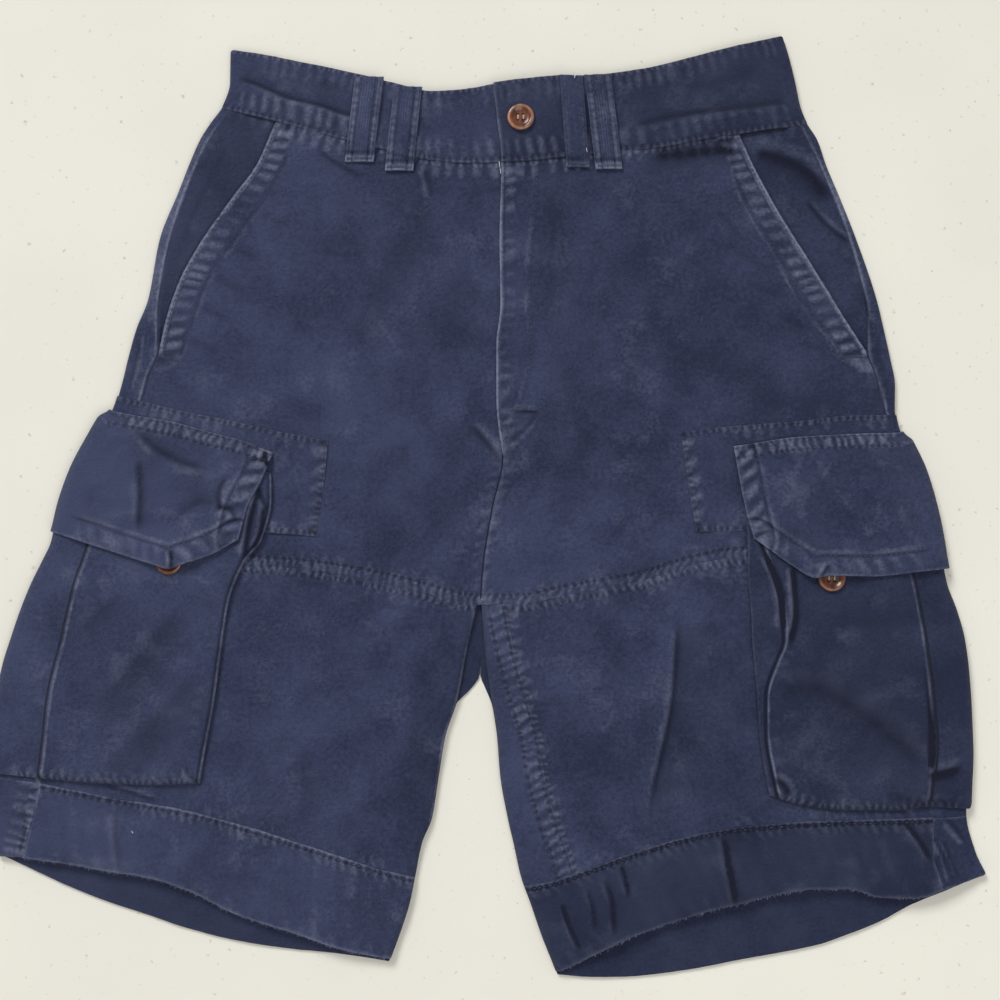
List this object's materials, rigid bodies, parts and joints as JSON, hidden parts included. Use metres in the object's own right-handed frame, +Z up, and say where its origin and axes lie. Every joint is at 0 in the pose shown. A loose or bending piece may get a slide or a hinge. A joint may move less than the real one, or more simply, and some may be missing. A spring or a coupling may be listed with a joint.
{
  "type": "cargo shorts",
  "caption": "Knee-length twill cargo shorts laid flat, front up, with a buttoned fly, belt loops, slanted hip pockets, flapped cargo pockets and stitched hems.",
  "frame": {"origin": "middle of the garment's footprint, on the surface it lies on", "axes": "+X to the viewer's right across the front, +Y from the hems to the waist, +Z up from the surface"},
  "size_m": [0.6022, 0.5846, 0.0159],
  "materials": {
    "navy_twill": "matt faded cotton twill",
    "worn_twill": "matt cotton twill, paler along its stitched edges",
    "horn_button": "polished brown horn look"
  },
  "bodies": {
    "root": {"waistband_left": "navy_twill", "back_left": "navy_twill", "hem_back_left": "navy_twill", "facing_left": "navy_twill", "front_upper_left": "navy_twill", "front_lower_left": "navy_twill", "hem_front_left": "worn_twill", "patch_left": "navy_twill", "cargo_pocket_left": "navy_twill", "flap_left": "worn_twill", "waistband_right": "navy_twill", "back_right": "navy_twill", "hem_back_right": "navy_twill", "facing_right": "navy_twill", "front_upper_right": "navy_twill", "front_lower_right": "navy_twill", "hem_front_right": "worn_twill", "patch_right": "navy_twill", "cargo_pocket_right": "navy_twill", "flap_right": "worn_twill", "inseam_turn_right": "worn_twill", "belt_loop_left_outer": "worn_twill", "belt_loop_left_inner": "worn_twill", "belt_loop_right_outer": "worn_twill", "belt_loop_right_inner": "worn_twill", "button_waist": "horn_button", "button_cargo_left": "horn_button", "button_cargo_right": "horn_button"}
  },
  "joints": []
}
